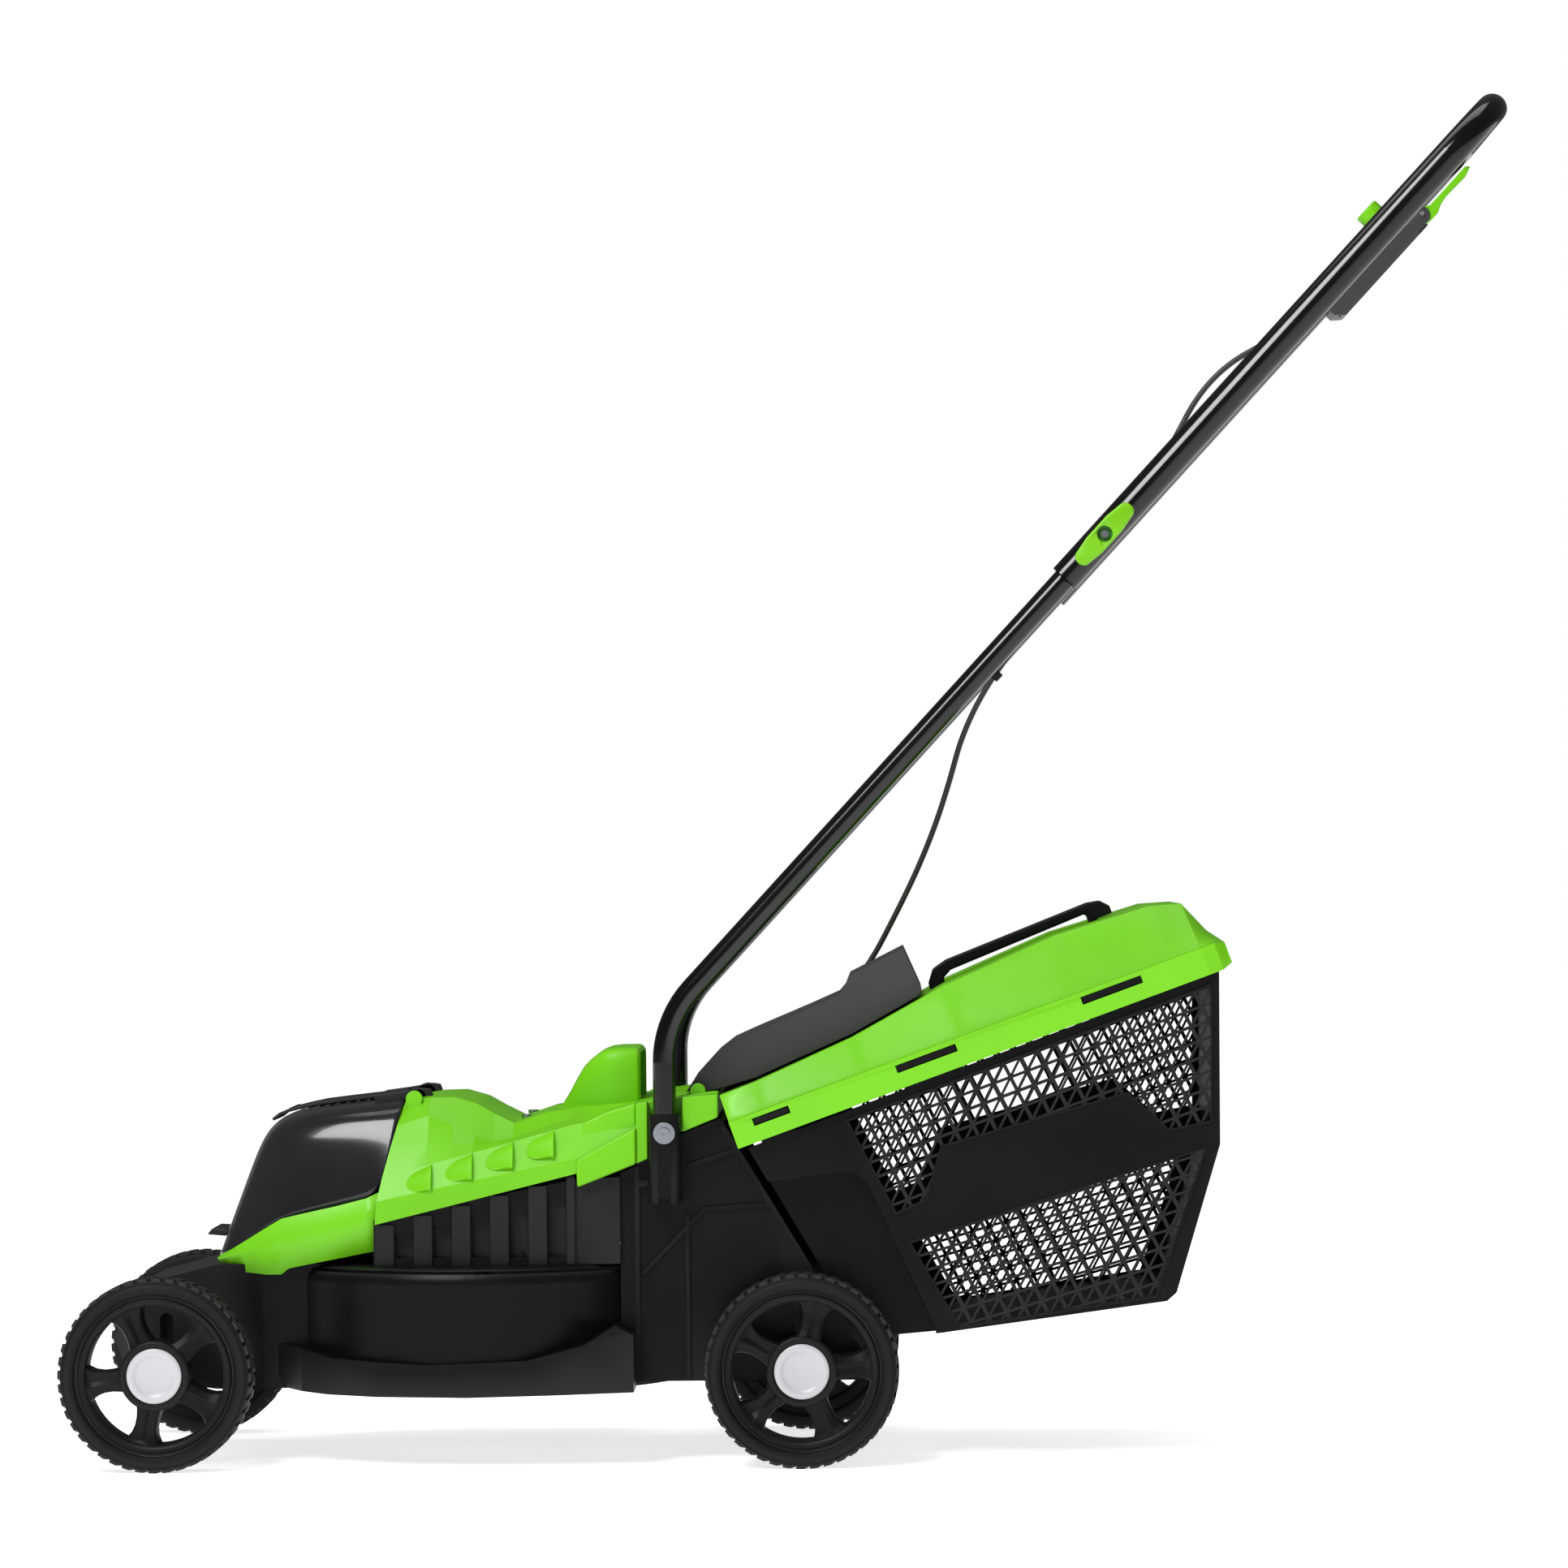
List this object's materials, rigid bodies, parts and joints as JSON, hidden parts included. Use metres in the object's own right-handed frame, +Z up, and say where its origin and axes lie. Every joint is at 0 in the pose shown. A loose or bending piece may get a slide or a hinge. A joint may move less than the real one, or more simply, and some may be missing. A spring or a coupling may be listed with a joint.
{
  "type": "push lawn mower",
  "caption": "Battery push mower with spoked wheels, motor hood, hinged battery cover, rear grass box and fold-down tube handle.",
  "frame": {"origin": "on the ground, at the middle of the length and width of the machine without its cable", "axes": "+X to the rear, towards the person pushing; -Y the mower's left side; +Z up"},
  "size_m": [1.208, 0.38, 1.1329],
  "materials": {
    "green_plastic": "satin moulded ABS",
    "black_plastic": "fine spark-eroded grain",
    "grey_plastic": "fine grain",
    "tinted_cover": "smoke-tinted polycarbonate",
    "battery_case": "fine grain",
    "tube_paint": "gloss powder coat",
    "zinc_steel": "zinc plated",
    "axle_steel": "drawn bar",
    "blade_paint": "satin paint over hardened steel",
    "motor_metal": "cast can",
    "contact_brass": "plated blades",
    "board": "glass-fibre board",
    "tyre": "moulded tread",
    "rim_plastic": "moulded, slightly worn",
    "cap_plastic": "light grey",
    "cable_rubber": "smooth jacket",
    "spring_steel": "oil-tempered wire",
    "knob_plastic": "satin"
  },
  "bodies": {
    "root": {"deck": "black_plastic", "vent_housing": "black_plastic", "hood": "green_plastic", "hood_screws": "zinc_steel", "cover_pin": "axle_steel", "battery_tray": "black_plastic", "battery_terminals": "contact_brass", "motor_can": "motor_metal", "control_board": "board", "sleeve_screws": "zinc_steel", "sleeve_washers": "zinc_steel", "handle_sleeve_left": "black_plastic", "handle_sleeve_right": "black_plastic", "lower_tube_left": "tube_paint", "lower_tube_right": "tube_paint", "handle_bolts": "zinc_steel", "flap_rod": "axle_steel", "flap_spring": "spring_steel", "power_cable": "cable_rubber", "cable_gland": "cable_rubber", "cable_clip": "black_plastic"},
    "front_axle_set": {"front_axle": "axle_steel"},
    "rear_axle_set": {"rear_axle": "axle_steel"},
    "rotor": {"motor_shaft": "axle_steel", "cooling_fan": "black_plastic", "blade_adapter": "motor_metal", "blade": "blade_paint", "blade_bolt": "zinc_steel"},
    "battery_cover": {"cover_window": "tinted_cover", "cover_arms": "battery_case"},
    "battery": {"battery_pack": "battery_case"},
    "battery_release": {"battery_latch": "green_plastic"},
    "key": {"safety_key": "knob_plastic"},
    "flap": {"rear_flap": "grey_plastic"},
    "grass_box": {"basket": "black_plastic", "box_lid": "green_plastic", "box_handle": "black_plastic"},
    "upper_handle": {"upper_tube": "tube_paint", "switch_housing": "grey_plastic", "switch_cover": "grey_plastic", "strain_relief": "cable_rubber", "microswitch": "battery_case", "lever_pin": "axle_steel", "button_spring": "spring_steel"},
    "button": {"power_button": "green_plastic"},
    "lever": {"power_lever": "green_plastic"},
    "left_knob": {"wing_knob_left": "knob_plastic"},
    "right_knob": {"wing_knob_right": "knob_plastic"},
    "front_left_wheel": {"front_left_tyre": "tyre", "front_left_rim": "rim_plastic", "front_left_cap": "cap_plastic"},
    "front_right_wheel": {"front_right_tyre": "tyre", "front_right_rim": "rim_plastic", "front_right_cap": "cap_plastic"},
    "rear_left_wheel": {"rear_left_tyre": "tyre", "rear_left_rim": "rim_plastic", "rear_left_cap": "cap_plastic"},
    "rear_right_wheel": {"rear_right_tyre": "tyre", "rear_right_rim": "rim_plastic", "rear_right_cap": "cap_plastic"}
  },
  "joints": [
    {"name": "front_height", "type": "slide", "parent": "root", "child": "front_axle_set", "axis": [0, 0, 1], "range_m": [0, 0.04]},
    {"name": "rear_height", "type": "slide", "parent": "root", "child": "rear_axle_set", "axis": [0, 0, 1], "range_m": [0, 0.04]},
    {"name": "blade_spin", "type": "hinge", "parent": "root", "child": "rotor", "pos_m": [-0.264, 0, 0.1], "axis": [0, 0, 1], "continuous": true},
    {"name": "cover_hinge", "type": "hinge", "parent": "root", "child": "battery_cover", "pos_m": [-0.314, 0, 0.302], "axis": [0, 1, 0], "range_deg": [0, 95]},
    {"name": "battery_slide", "type": "slide", "parent": "root", "child": "battery", "axis": [0, 0, 1], "range_m": [0, 0.006]},
    {"name": "latch_press", "type": "slide", "parent": "battery", "child": "battery_release", "axis": [1, 0, 0], "range_m": [0, 0.003], "stiffness_N_per_m": 800, "springref_m": -0.002},
    {"name": "key_pull", "type": "slide", "parent": "root", "child": "key", "axis": [0, 0, 1], "range_m": [0, 0.03]},
    {"name": "flap_hinge", "type": "hinge", "parent": "root", "child": "flap", "pos_m": [-0.075, 0, 0.308], "axis": [0, -1, 0], "range_deg": [0, 55], "stiffness_Nm_per_rad": 0.2, "springref_deg": -57.3},
    {"name": "box_slide", "type": "slide", "parent": "root", "child": "grass_box", "axis": [1, 0, 0], "range_m": [0, 0.35]},
    {"name": "handle_fold", "type": "hinge", "parent": "root", "child": "upper_handle", "pos_m": [0.265, 0, 0.765], "axis": [0, -1, 0], "range_deg": [0, 165], "deforming": ["power_cable"]},
    {"name": "button_press", "type": "slide", "parent": "upper_handle", "child": "button", "axis": [0.7343, 0, -0.6788], "range_m": [0, 0.0035], "stiffness_N_per_m": 500, "springref_m": -0.002, "deforming": ["button_spring"]},
    {"name": "lever_squeeze", "type": "hinge", "parent": "upper_handle", "child": "lever", "pos_m": [0.5563, 0.14075, 1.05951], "axis": [0, -1, 0], "range_deg": [0, 1.2], "stiffness_Nm_per_rad": 1, "springref_deg": -8.59},
    {"name": "left_knob_turn", "type": "hinge", "parent": "root", "child": "left_knob", "pos_m": [0.265, -0.185, 0.765], "axis": [0, 1, 0], "continuous": true},
    {"name": "right_knob_turn", "type": "hinge", "parent": "root", "child": "right_knob", "pos_m": [0.265, 0.185, 0.765], "axis": [0, 1, 0], "continuous": true},
    {"name": "front_left_roll", "type": "hinge", "parent": "front_axle_set", "child": "front_left_wheel", "pos_m": [-0.522, 0, 0.08], "axis": [0, 1, 0], "continuous": true},
    {"name": "front_right_roll", "type": "hinge", "parent": "front_axle_set", "child": "front_right_wheel", "pos_m": [-0.522, 0, 0.08], "axis": [0, 1, 0], "continuous": true},
    {"name": "rear_left_roll", "type": "hinge", "parent": "rear_axle_set", "child": "rear_left_wheel", "pos_m": [0.0105, 0, 0.08], "axis": [0, 1, 0], "continuous": true},
    {"name": "rear_right_roll", "type": "hinge", "parent": "rear_axle_set", "child": "rear_right_wheel", "pos_m": [0.0105, 0, 0.08], "axis": [0, 1, 0], "continuous": true}
  ]
}
